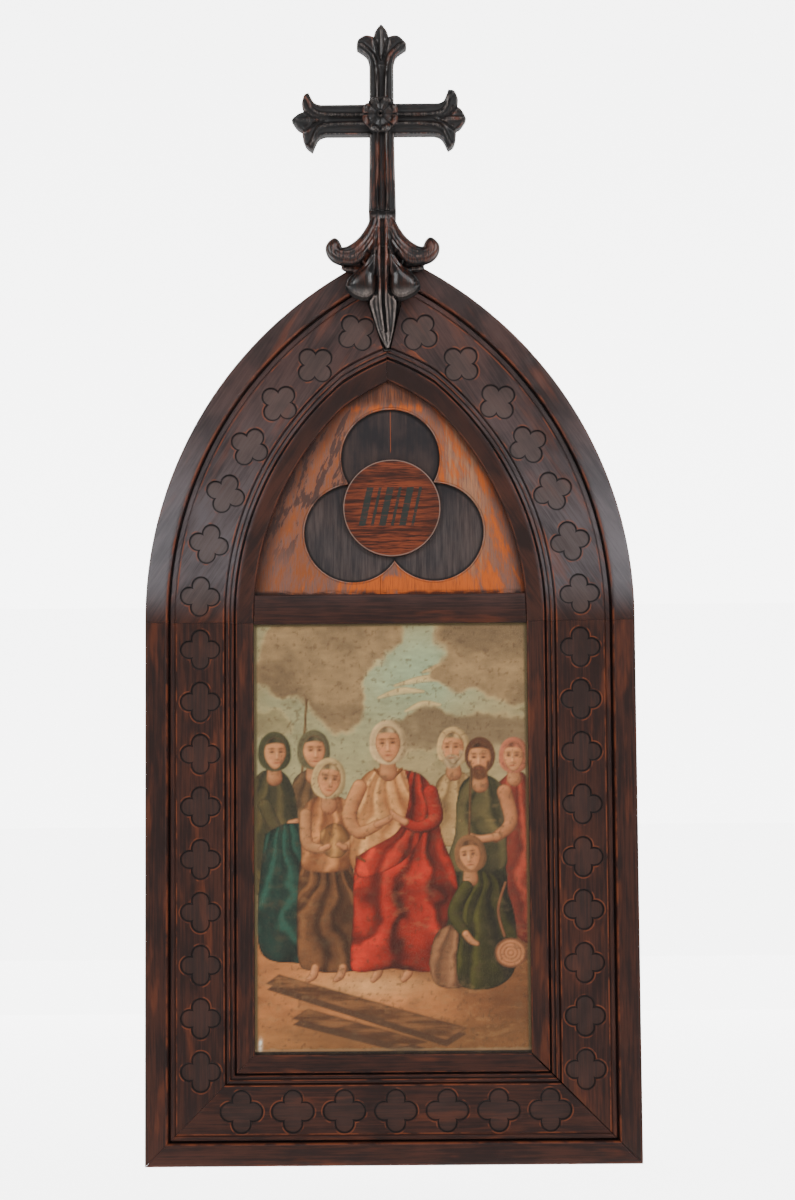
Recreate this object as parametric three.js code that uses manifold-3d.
// A carved wooden wall tablet: a painted picture below a pointed arch, in a moulded frame of
// stained hardwood, with a leaf bracket and a cross on top.
//
// Everything is in millimetres. While a piece is drawn, x runs to the right, z runs up from the foot
// of the frame, and "height" is the distance forward from the back plane. A point of height h lies
// at y = -h, so the back is the plane y = 0 and the front looks along -Y.
import * as THREE from 'three';
import { mergeVertices } from 'three/addons/utils/BufferGeometryUtils.js';
import Module from 'manifold-3d';

const wasm = await Module();
wasm.setup();

// Frame
const FRAME_HALF = 325;          // half of the width over all
const MEMBER = 143;              // width of every moulded member, from outer edge to sight edge
const SPRING_Z = 712.7;          // joint between the uprights and the arch members
const GAP = 0.3;                 // clearance between neighbouring pieces
const OPEN_MITRE = 1.2;          // the lower right mitre has opened
const ARC = { x: 213, z: 718, radius: 538 };       // left outer curve; the right one is mirrored
const CROWN = { mitreX: -2, reach: 62, ease: 0.2 }; // the inner mouldings run flatter near the top
const SHOULDER = { inward: 55, run: 45 };           // where across the member that easing sets in

// Moulding: distance inward from the outer edge, height above the back
const BAND_FRONT = 34;           // raised outer band, the foremost plane of the frame
const FOIL_BAND = 26;            // flat band that carries the quatrefoils
const REBATE = { inward: 131, height: 12.4 };       // step in the back that holds the panels
const PROFILE = [
  [0, 0], [0, BAND_FRONT], [27, BAND_FRONT], [30, 31], [30.6, 24], [32.6, 24],
  [33.4, 28.6], [38.4, 28.6], [39.4, FOIL_BAND], [104, FOIL_BAND], [105.6, 22.6],
  [107, 25], [110.2, 25], [111.8, 22], [113.2, 23], [116.4, 23], [117, 17.6], [118.8, 17.6],
  [119.6, 21], [MEMBER, 17.6], [MEMBER, REBATE.height], [REBATE.inward, REBATE.height],
  [REBATE.inward, 0],
];
const ARC_STEPS = 15;

// Quatrefoils, sunk into the flat band
const FOIL = { lobe: 12.2, offset: 14.5, depth: 2.6, stepsPerLobe: 6 };
const STILE_FOILS = { count: 9, first: 122, pitch: 69.4, inward: 72.5 };
const RAIL_FOILS = { count: 7, pitch: 67.4, middle: 3, inward: 70, scale: 1.06 };
const ARCH_FOILS = { count: 7, first: 3.7, pitch: 8.78, inward: 71.5, drift: 5.5, driftOver: 3 };

// Panels and transom
const PANEL_FRONT = 12;
const PICTURE_BACK = 4;
const TYMPANUM_BACK = 2;
const TYMPANUM_PLAY = 1.6;       // room round the arched panel in its rebate
const TRANSOM = { low: 711, high: 750.5, front: 17.2, bevel: 2, coreLow: 722, coreHigh: 739 };
const TREFOIL = { radius: 66.5, depth: 5, lobes: [[2, 934], [-48, 833], [60, 834.5]], core: 45 };
const DISC = { x: 3.5, z: 866.5, radius: 65.5, front: 13.4, edge: 2.2 };

// Finial: it sits a little left of the middle
const FINIAL_X = -6;
const NOTCH = { low: 1077, high: 1215, left: [-6, -50.5], right: [3, 36.5], floor: 6 };
const BRACKET_TOP = 1265;
const CROSS = { z: 1391.3, back: 20, edge: 40, hollow: 37.4, rib: 43, channel: 40.4, ribOffset: 6.3 };
const LEFT_ARM = {
  half: 20, start: 84, tip: [98, 38.5], outer: [107.6, 22], notch: [104.7, 12], point: 121.5,
};
const RIGHT_ARM = {              // shorter, and its point has lost its tip
  half: 20, start: 77, tip: [91.5, 40], outer: [103, 26], notch: [101, 14.5], point: 113.4,
};
const TOP_ARM = {
  half: 16.3, start: 75, tip: [98.5, 33], outer: [115.8, 21], notch: [113.6, 10.2], point: 130.7,
};
const ROSETTE = { x: -8, z: 1396.5, radius: 25.3, petals: 8, base: 43.5, rise: 8 };

// Leaf bracket. Scroll: distance from the axis, z, half width, height of the middle, half depth
const SCROLL = [
  [5, 1262, 9, 31, 9], [12, 1239, 11, 37, 11], [23, 1219, 13, 42, 14], [38, 1203.5, 15.5, 46, 14],
  [53, 1201.5, 12.8, 48, 14], [64, 1205, 11.5, 47, 14], [66.5, 1215, 10.2, 46, 13], [64.5, 1222, 7, 45, 10],
  [63, 1226, 3, 45, 6],
];
// Neck of the bulb, in the same terms as the scroll
const BULB_NECK = [[4, 1216, 6, 47, 9], [9, 1199, 8, 50, 10], [16, 1183, 12, 49, 11], [24, 1168, 14, 46, 12]];
// Bulb: outline as distance from the axis and z; rings as share of the outline and height
const BULB = {
  outline: [[17, 1203], [11, 1190], [7, 1168], [9, 1155], [16, 1146], [25, 1143.5], [34, 1146],
    [42, 1152], [48.5, 1162], [42, 1175], [33, 1184], [24, 1192]],
  middle: [25, 1166],
  rings: [[1, 37], [0.93, 45], [0.72, 54], [0.4, 59]],
  crest: 60,
};
// Stem and hanging leaf: z, shift of the axis, half width, height of edge and of ribs, rib offset
const STEM = [
  [BRACKET_TOP - 0.15, 0, 18.5, 40, 43, 6.3], [1250, 0, 18, 40, 44.5, 6.1], [1238, 0, 16, 41, 47, 5.9],
  [1224, 0, 14, 42, 50, 5.6], [1200, 0, 12, 44, 58, 5.2], [1180, 0, 9.5, 46, 62, 4.8],
  [1163, 0.5, 7.6, 46, 60, 4.4],
  [1150, 0.5, 13.5, 42, 57, 4.2], [1140, 0, 17.9, 38, 54, 4], [1120, 1.8, 14.2, 33, 47, 3.8],
  [1100, 3.2, 9.2, 28, 38, 3.2], [1081, 5.6, 2.4, 23, 28, 1],
];
const TONGUE = { low: 1078, shoulder: 1190, top: 1222, topHalf: 17, height: 20 };

const MOUNT_Z = 730.5;           // middle of the transom's back, where the tablet is held

const at = (x, z, height) => new THREE.Vector3(x, -height, z);
const flat = (points) => points.map((p) => new THREE.Vector2(p.x, p.z));

// Turns a closed three.js geometry into a solid that can be joined and cut.
function solidOf(geometry) {
  const bare = geometry.clone();
  bare.deleteAttribute('normal');
  bare.deleteAttribute('uv');
  const merged = mergeVertices(bare, 1e-4);
  return new wasm.Manifold(new wasm.Mesh({
    numProp: 3,
    vertProperties: new Float32Array(merged.attributes.position.array),
    triVerts: new Uint32Array(merged.index.array),
  }));
}

// A solid from triangles given as corners.
const solidFromCorners = (corners) => solidOf(new THREE.BufferGeometry().setFromPoints(corners));

// A straight prism over an outline drawn in x and z, between two heights.
function prism(shape, low, high, curveSegments = 8) {
  const settings = { depth: high - low, bevelEnabled: false, curveSegments };
  const geometry = new THREE.ExtrudeGeometry(shape, settings);
  geometry.rotateX(Math.PI / 2);
  geometry.translate(0, -low, 0);
  return solidOf(geometry);
}

const polygon = (pairs) => new THREE.Shape(pairs.map(([x, z]) => new THREE.Vector2(x, z)));

const box = (x0, x1, z0, z1, low, high) => prism(
  polygon([[x0, z0], [x1, z0], [x1, z1], [x0, z1]]), low, high);

const join = (solids) => solids.reduce((whole, next) => whole.add(next));

// A skin over a row of rings of points, closed at both ends. The profile, given as pairs, has the
// shape of a ring and says how the ends are filled.
function loft(rings, profile) {
  const face = THREE.ShapeUtils.triangulateShape(profile.map(([a, b]) => new THREE.Vector2(a, b)), []);
  const first = rings[0];
  const last = rings[rings.length - 1];
  const turned = THREE.ShapeUtils.isClockWise(profile.map(([a, b]) => new THREE.Vector2(a, b)));
  const corners = [];
  face.forEach((triangle) => {
    const [a, b, c] = triangle.map((i) => new THREE.Vector2(...profile[i]));
    const clockwise = THREE.ShapeUtils.isClockWise([a, b, c]);
    const [i, j, k] = clockwise === turned ? triangle : [triangle[0], triangle[2], triangle[1]];
    corners.push(first[i], first[j], first[k], last[i], last[k], last[j]);
  });
  for (let s = 0; s + 1 < rings.length; s += 1) {
    profile.forEach((_, i) => {
      const j = (i + 1) % profile.length;
      const [a, b, c, d] = [rings[s][i], rings[s][j], rings[s + 1][j], rings[s + 1][i]];
      corners.push(b, a, c, c, a, d);
    });
  }
  return faceOutwards(corners);
}

// A closed profile carried through stations. A station gives the place of a profile point.
const sweep = (profile, stations) => loft(
  stations.map((place) => profile.map(([inward, height]) => place(inward, height))), profile);

// Turns all triangles over if they enclose a negative volume.
function faceOutwards(corners) {
  let volume = 0;
  const cross = new THREE.Vector3();
  for (let i = 0; i < corners.length; i += 3) {
    volume += corners[i].dot(cross.crossVectors(corners[i + 1], corners[i + 2]));
  }
  if (volume < 0) {
    for (let i = 0; i < corners.length; i += 3) {
      [corners[i + 1], corners[i + 2]] = [corners[i + 2], corners[i + 1]];
    }
  }
  return solidFromCorners(corners);
}

// A relief with a flat back: patches share their border points, and the outline runs
// anticlockwise as seen from the front. No three border points of a patch lie on one line.
function relief(patches, outline, back) {
  const corners = [];
  const behind = (p) => at(p.x, p.z, back);
  patches.forEach((patch) => {
    THREE.ShapeUtils.triangulateShape(flat(patch), []).forEach((triangle) => {
      const [a, b, c] = triangle.map((i) => patch[i]);
      const turn = (b.x - a.x) * (c.z - a.z) - (c.x - a.x) * (b.z - a.z);
      const front = turn > 0 ? [a, b, c] : [a, c, b];
      corners.push(...front, ...front.map(behind).reverse());
    });
  });
  outline.forEach((p, i) => {
    const q = outline[(i + 1) % outline.length];
    corners.push(q, p, behind(p), q, behind(p), behind(q));
  });
  return solidFromCorners(corners);
}

// One sunk quatrefoil: four round lobes about a point, turned to follow its member.
function quatrefoil(x, z, turn = 0, scale = 1) {
  const { lobe, offset } = FOIL;
  const cusp = offset * Math.SQRT1_2 + Math.sqrt(lobe ** 2 - offset ** 2 / 2);
  const swing = Math.PI - Math.asin((cusp * Math.SQRT1_2) / lobe);
  const points = [];
  for (let quarter = 0; quarter < 4; quarter += 1) {
    const axis = turn + (quarter * Math.PI) / 2;
    const centre = [x + scale * offset * Math.cos(axis), z + scale * offset * Math.sin(axis)];
    for (let step = 0; step < FOIL.stepsPerLobe; step += 1) {
      const angle = axis - swing + (2 * swing * step) / FOIL.stepsPerLobe;
      points.push([centre[0] + scale * lobe * Math.cos(angle), centre[1] + scale * lobe * Math.sin(angle)]);
    }
  }
  return prism(polygon(points), FOIL_BAND - FOIL.depth, FOIL_BAND + 1);
}

// Uprights: mitred at the foot, square at the springing joint.
function stile(side) {
  const mitre = (side < 0 ? GAP : OPEN_MITRE) * Math.SQRT1_2;
  const across = (inward) => side * (FRAME_HALF - inward);
  const body = sweep(PROFILE, [
    (inward, height) => at(across(inward), inward + mitre, height),
    (inward, height) => at(across(inward), SPRING_Z - GAP / 2, height),
  ]);
  const foils = Array.from({ length: STILE_FOILS.count }, (_, i) => (
    quatrefoil(across(STILE_FOILS.inward), STILE_FOILS.first + i * STILE_FOILS.pitch)));
  return body.subtract(join(foils));
}

function bottomRail() {
  const end = (side) => (inward, height) => {
    const mitre = (side < 0 ? GAP : OPEN_MITRE) * Math.SQRT1_2;
    return at(side * (FRAME_HALF - inward - mitre), inward, height);
  };
  const first = RAIL_FOILS.middle - (RAIL_FOILS.pitch * (RAIL_FOILS.count - 1)) / 2;
  const foils = Array.from({ length: RAIL_FOILS.count }, (_, i) => (
    quatrefoil(first + i * RAIL_FOILS.pitch, RAIL_FOILS.inward, 0, RAIL_FOILS.scale)));
  return sweep(PROFILE, [end(-1), end(1)]).subtract(join(foils));
}

// A point on an arch member: the angle is 0 at the springing and grows towards the crown.
function archPoint(side, angle, inward, height) {
  const radius = ARC.radius - inward;
  const x = side * (radius * Math.cos(angle) - ARC.x);
  const z = ARC.z + radius * Math.sin(angle);
  const inner = THREE.MathUtils.clamp((inward - SHOULDER.inward) / SHOULDER.run, 0, 1);
  const toCrown = Math.max(0, CROWN.reach - side * x);
  return at(x, z - CROWN.ease * inner * toCrown, height);
}

// The V-shaped notch in the crown: x of its left or right edge at a given z.
function notchEdge(side, z) {
  const [low, high] = side < 0 ? NOTCH.left : NOTCH.right;
  return low + ((high - low) * (z - NOTCH.low)) / (NOTCH.high - NOTCH.low);
}

// Curved members: swept past the crown, then cut at the mitre. The notch is a pocket, cut from the
// front down to its floor, so no light shows beside the tongue of the bracket.
function arch(side) {
  const past = Math.acos((ARC.x - 8) / ARC.radius);
  const stations = [(inward, height) => at(side * (FRAME_HALF - inward), SPRING_Z + GAP / 2, height)];
  for (let step = 0; step <= ARC_STEPS; step += 1) {
    stations.push((inward, height) => archPoint(side, (past * step) / ARC_STEPS, inward, height));
  }
  const mitre = CROWN.mitreX + (side * GAP) / 2;
  const outside = [[side * 400, 1230], [side * 400, 700], [mitre, 700]];
  const behind = prism(polygon([...outside, [mitre, 1230]]), -1, NOTCH.floor);
  const infront = prism(polygon([
    ...outside, [mitre, NOTCH.low], [notchEdge(side, NOTCH.low), NOTCH.low], [notchEdge(side, 1230), 1230],
  ]), NOTCH.floor, BAND_FRONT + 1);
  const foils = Array.from({ length: ARCH_FOILS.count }, (_, i) => {
    const angle = THREE.MathUtils.degToRad(ARCH_FOILS.first + i * ARCH_FOILS.pitch);
    const inward = ARCH_FOILS.inward + ARCH_FOILS.drift * Math.min(1, i / ARCH_FOILS.driftOver);
    const radius = ARC.radius - inward;
    const x = side * (radius * Math.cos(angle) - ARC.x);
    return quatrefoil(x, ARC.z + radius * Math.sin(angle), side * angle);
  });
  return sweep(PROFILE, stations).subtract(join(foils)).intersect(behind.add(infront));
}

// Half the clear width between the two sides at a given z, measured at a line of the moulding.
function clearHalf(inward, z) {
  const rise = Math.max(0, z - ARC.z);
  return Math.sqrt((ARC.radius - inward) ** 2 - rise ** 2) - ARC.x - 2 * GAP;
}

// The transom fills the rebates at both ends and covers the edges of both panels.
function transomRail() {
  const { low, high, front, bevel, coreLow, coreHigh } = TRANSOM;
  const section = [
    [coreLow, 0], [coreHigh, 0], [coreHigh, REBATE.height], [high, REBATE.height],
    [high, front - bevel], [high - bevel, front], [low, front], [low, REBATE.height],
    [coreLow, REBATE.height],
  ];
  const rail = sweep(section, [-1, 1].map((side) => (z, height) => (
    at(side * clearHalf(MEMBER, z), z, height))));
  const tongue = clearHalf(REBATE.inward, coreHigh);
  return rail.add(box(-tongue, tongue, coreLow, coreHigh, 0, REBATE.height - GAP));
}

// The arched panel runs into the rebate all round and has a sunk trefoil.
function tympanumPanel() {
  const inward = REBATE.inward + TYMPANUM_PLAY;
  const foot = TRANSOM.coreHigh + GAP;
  const start = Math.asin((foot - ARC.z) / (ARC.radius - inward));
  const finish = Math.acos(ARC.x / (ARC.radius - inward));
  const half = (side) => Array.from({ length: ARC_STEPS + 1 }, (_, i) => {
    const p = archPoint(side, start + ((finish - start) * i) / ARC_STEPS, inward, 0);
    return [p.x, p.z];
  });
  const outline = [...half(1), ...half(-1).reverse().slice(1)];
  const lobes = TREFOIL.lobes.map(([x, z]) => new THREE.Shape().absarc(x, z, TREFOIL.radius, 0, 2 * Math.PI));
  const core = new THREE.Shape().absarc(DISC.x, DISC.z, TREFOIL.core, 0, 2 * Math.PI);
  const sunk = [...lobes, core].map((shape) => (
    prism(shape, PANEL_FRONT - TREFOIL.depth, PANEL_FRONT + 1, 32)));
  return prism(polygon(outline), TYMPANUM_BACK, PANEL_FRONT).subtract(join(sunk));
}

function numberDisc() {
  const floor = PANEL_FRONT - TREFOIL.depth + GAP;
  const { radius, front, edge } = DISC;
  const outline = [[0, floor], [radius, floor], [radius, front - edge], [radius - edge / 3, front - edge / 3],
    [radius - edge, front], [0, front]].map(([r, y]) => new THREE.Vector2(r, y));
  const geometry = new THREE.LatheGeometry(outline, 36);
  geometry.rotateX(Math.PI);
  geometry.translate(DISC.x, 0, DISC.z);
  return solidOf(geometry);
}

function picturePanel() {
  const edge = REBATE.inward + GAP;
  const half = FRAME_HALF - edge;
  return box(-half, half, edge, TRANSOM.coreLow - GAP, PICTURE_BACK, PANEL_FRONT);
}

// One fleury arm of the cross, drawn along s, with t across, and laid out by a direction.
function arm(size, direction) {
  const { half, start, tip, outer, notch, point } = size;
  const { edge, hollow, rib, channel, ribOffset, back } = CROSS;
  const inner = 10;                             // the arm starts inside the block at the crossing
  const across = new THREE.Vector2(-direction.y, direction.x);
  const place = (s, t, height) => at(
    FINIAL_X + direction.x * s + across.x * t, CROSS.z + direction.y * s + across.y * t, height);
  const curve = (from, control, to, steps) => new THREE.QuadraticBezierCurve(
    new THREE.Vector2(...from), new THREE.Vector2(...control), new THREE.Vector2(...to),
  ).getPoints(steps).slice(1).map((p) => [p.x, p.y]);
  const lobeHeart = [tip[0] + 4, 0.6 * tip[1]];
  const halfPatches = (side) => {
    const lift = (pairs, height) => pairs.map(([s, t]) => place(s, side * t, height));
    const flare = curve([start, half], [tip[0] - 3, half + 0.5], tip, 4);
    const lobe = [
      ...curve(tip, [outer[0] + 1, tip[1] - 3], outer, 3),
      ...curve(outer, [outer[0], (outer[1] + notch[1]) / 2], notch, 2),
    ];
    const toPoint = curve(notch, [notch[0] + 0.6 * (point - notch[0]), notch[1] - 1], [point, 0], 3);
    const edges = lift([[inner, half], [start, half], ...flare], edge);
    const lobeEdge = lift(lobe, edge - 1);
    const pointEdge = lift(toPoint, edge - 3);
    const middle = (half + ribOffset) / 2;
    const hollows = [...lift([[inner, middle], [start + 4, middle + 1]], hollow),
      ...lift([[(start + tip[0]) / 2 + 7, tip[1] / 2]], hollow + 0.4)];
    const ribs = [...lift([[inner, ribOffset], [start + 2, ribOffset]], rib),
      ...lift([[(start + tip[0]) / 2 + 6, tip[1] * 0.36], lobeHeart], rib - 0.6)];
    const channels = lift([[inner, 0], [start + 4, 0]], channel);
    const tipOfLobe = edges[edges.length - 1];
    const cleft = lobeEdge[lobeEdge.length - 1];
    return {
      edge: [...edges, ...lobeEdge, ...pointEdge],
      patches: [
        [...edges, hollows[2], hollows[1], hollows[0]],
        [hollows[0], hollows[1], hollows[2], tipOfLobe, ribs[3], ribs[2], ribs[1], ribs[0]],
        [tipOfLobe, ...lobeEdge, ribs[2], ribs[3]],
        [ribs[0], ribs[1], channels[1], channels[0]],
        [ribs[1], ribs[2], cleft, ...pointEdge, channels[1]],
      ],
      inner: [edges[0], hollows[0], ribs[0], channels[0]],
    };
  };
  const left = halfPatches(1);
  const right = halfPatches(-1);
  const outline = [
    ...right.edge, ...left.edge.slice(0, -1).reverse(),
    ...left.inner.slice(1, 4), ...right.inner.slice(1, 3).reverse(),
  ];
  return relief([...left.patches, ...right.patches], outline, back);
}

// The plain lower shaft, a little wider at its foot.
function lowerShaft() {
  const { edge, hollow, rib, channel, ribOffset, back } = CROSS;
  const section = (half) => {
    const side = [[ribOffset, rib], [(half + ribOffset) / 2, hollow], [half, edge], [half, back]];
    return [[0, channel], ...side, ...side.map(([x, height]) => [-x, height]).reverse()];
  };
  const ends = [[BRACKET_TOP + GAP / 2, 18.5], [CROSS.z - 10, TOP_ARM.half + 0.4]];
  const rings = ends.map(([z, half]) => section(half).map(([x, height]) => at(FINIAL_X + x, z, height)));
  return loft(rings, section(TOP_ARM.half));
}

function cross() {
  const directions = { left: [-1, 0], right: [1, 0], up: [0, 1] };
  const dir = (name) => new THREE.Vector2(...directions[name]);
  const block = box(FINIAL_X - TOP_ARM.half, FINIAL_X + TOP_ARM.half,
    CROSS.z - LEFT_ARM.half, CROSS.z + LEFT_ARM.half, CROSS.back, CROSS.rib + 0.2);
  return join([
    block, arm(LEFT_ARM, dir('left')), arm(RIGHT_ARM, dir('right')), arm(TOP_ARM, dir('up')), lowerShaft(),
  ]);
}

// A flower of rounded petals about a small boss, hollowed between rim and boss.
function rosette() {
  const { x, z, radius, petals, base, rise } = ROSETTE;
  const rings = [[1, 0], [1, 0.45], [0.9, 0.85], [0.68, 0.62], [0.4, 0.3], [0.26, 0.42], [0.2, 0.75]];
  const around = petals * 5;
  const corner = ([share, lift], step) => {
    const angle = Math.PI / 2 + (2 * Math.PI * step) / around;
    const petal = Math.abs(Math.sin((petals * (angle - Math.PI / 2)) / 2));
    const rim = 1 - 0.14 * share ** 4 * (1 - petal ** 0.7);
    const swell = share > 0.3 && lift > 0 ? 0.35 * (petal - 0.6) : 0;
    const r = radius * share * rim;
    return at(x + r * Math.cos(angle), z + r * Math.sin(angle), base + rise * (lift + swell * share));
  };
  const steps = Array.from({ length: around }, (_, step) => step);
  const ringPoints = rings.map((ring) => steps.map((step) => corner(ring, step)));
  return loft(ringPoints, steps.map((step) => {
    const angle = (2 * Math.PI * step) / around;
    return [Math.cos(angle), Math.sin(angle)];
  }));
}

// A tapering limb of the bracket: stations give distance from the axis, z, half width, height of
// its middle and half depth. The last one closes it with a blunt end.
function limb(side, stations, steps, sides = 10) {
  const line = (columns) => new THREE.CatmullRomCurve3(
    stations.map((row) => new THREE.Vector3(...columns.map((c) => row[c] ?? 0))));
  const path = line([0, 1]);
  const sizes = line([2, 3, 4]);
  const rings = Array.from({ length: steps + 1 }, (_, i) => {
    const centre = path.getPoint(i / steps);
    const ahead = path.getTangent(i / steps);
    const { x: halfWidth, y: height, z: halfDepth } = sizes.getPoint(i / steps);
    return Array.from({ length: sides }, (__, k) => {
      const angle = (2 * Math.PI * (k + 0.5)) / sides;
      const out = halfWidth * Math.cos(angle);
      return at(FINIAL_X + side * (centre.x - ahead.y * out), centre.y + ahead.x * out,
        height + halfDepth * Math.sin(angle));
    });
  });
  return loft(rings, Array.from({ length: sides }, (_, k) => {
    const angle = (2 * Math.PI * (k + 0.5)) / sides;
    return [Math.cos(angle), Math.sin(angle)];
  }));
}

// A pointed bulb: its outline drawn in towards its middle while the surface rises.
function bulb(side) {
  const { outline, middle, rings } = BULB;
  const crest = at(FINIAL_X + side * middle[0], middle[1], BULB.crest);
  const ringPoints = rings.map(([share, height]) => outline.map(([a, z]) => at(
    FINIAL_X + side * (middle[0] + share * (a - middle[0])), middle[1] + share * (z - middle[1]), height)));
  const patches = [];
  outline.forEach((_, i) => {
    const j = (i + 1) % outline.length;
    for (let r = 0; r + 1 < rings.length; r += 1) {
      patches.push([ringPoints[r][i], ringPoints[r][j], ringPoints[r + 1][j], ringPoints[r + 1][i]]);
    }
    patches.push([ringPoints[rings.length - 1][i], ringPoints[rings.length - 1][j], crest]);
  });
  const border = side > 0 ? ringPoints[0] : [...ringPoints[0]].reverse();
  return relief(patches, border, BAND_FRONT - 4);
}

// The middle of the bracket: a stem with two ribs and a channel that ends in a hanging leaf.
function stem() {
  const section = ([, , half, edge, rib, ribOffset]) => {
    const side = [
      [ribOffset, rib], [ribOffset * 1.6, rib - 1.5], [half, edge], [half, CROSS.back - 1],
    ];
    return [[0, rib - 3], ...side, ...side.map(([x, height]) => [-x, height]).reverse()];
  };
  const rings = STEM.map((row) => section(row).map(([x, height]) => (
    at(FINIAL_X + row[1] + x, row[0], height))));
  return loft(rings, section(STEM[0]));
}

// The space that the arch members take, with a little clearance, out of which the bracket is cut.
function archSpace(side) {
  const edgeX = (z) => notchEdge(side, z) - side * 2 * GAP;
  const radius = ARC.radius + GAP;
  const rim = [0.83, 0.88, 0.93, 0.98, 1.03, 1.08, 1.125].reverse().map((angle) => (
    [side * (radius * Math.cos(angle) - ARC.x), ARC.z + radius * Math.sin(angle)]));
  const outline = [[edgeX(1060), 1060], [edgeX(rim[0][1]), rim[0][1]],
    ...rim.filter(([x]) => side * x > side * edgeX(1190)), [side * 200, 1060]];
  return prism(polygon(outline), -2, BAND_FRONT + GAP);
}

function leafBracket() {
  const inset = (side, z) => [notchEdge(side, z) - side * 2 * GAP, z];
  const { low, shoulder, top, topHalf, height } = TONGUE;
  const tongue = prism(polygon([
    inset(-1, low), inset(1, low), inset(1, shoulder), [FINIAL_X + topHalf, top],
    [FINIAL_X - topHalf, top], inset(-1, shoulder),
  ]), NOTCH.floor + GAP, height);
  const limbs = [-1, 1].flatMap((side) => [limb(side, SCROLL, 15), limb(side, BULB_NECK, 5), bulb(side)]);
  const whole = join([stem(), tongue, ...limbs]);
  return whole.subtract(archSpace(-1)).subtract(archSpace(1));
}

const WOOD = {
  stained: { color: 0x4a2f26, roughness: 0.5 },
  arch: { color: 0x4c413e, roughness: 0.45 },
  worn: { color: 0x9c5a28, roughness: 0.5 },
  disc: { color: 0x6e3c25, roughness: 0.5 },
  dark: { color: 0x2c2725, roughness: 0.4 },
  picture: { color: 0x9a9070, roughness: 0.45 },
};

const tablet = new THREE.Group();
tablet.position.z = -MOUNT_Z;

function add(name, solid, finish) {
  const { vertProperties, triVerts } = solid.getMesh();
  const geometry = new THREE.BufferGeometry();
  geometry.setAttribute('position', new THREE.BufferAttribute(vertProperties, 3));
  geometry.setIndex(new THREE.BufferAttribute(triVerts, 1));
  geometry.computeVertexNormals();
  const mesh = new THREE.Mesh(geometry, new THREE.MeshStandardMaterial({ ...WOOD[finish], metalness: 0 }));
  mesh.name = name;
  tablet.add(mesh);
}

add('left_stile', stile(-1), 'stained');
add('right_stile', stile(1), 'stained');
add('bottom_rail', bottomRail(), 'stained');
add('left_arch', arch(-1), 'arch');
add('right_arch', arch(1), 'arch');
add('transom_rail', transomRail(), 'stained');
add('tympanum_panel', tympanumPanel(), 'worn');
add('number_disc', numberDisc(), 'disc');
add('picture_panel', picturePanel(), 'picture');
add('leaf_bracket', leafBracket(), 'dark');
add('cross', cross(), 'dark');
add('cross_rosette', rosette(), 'dark');

export default tablet;
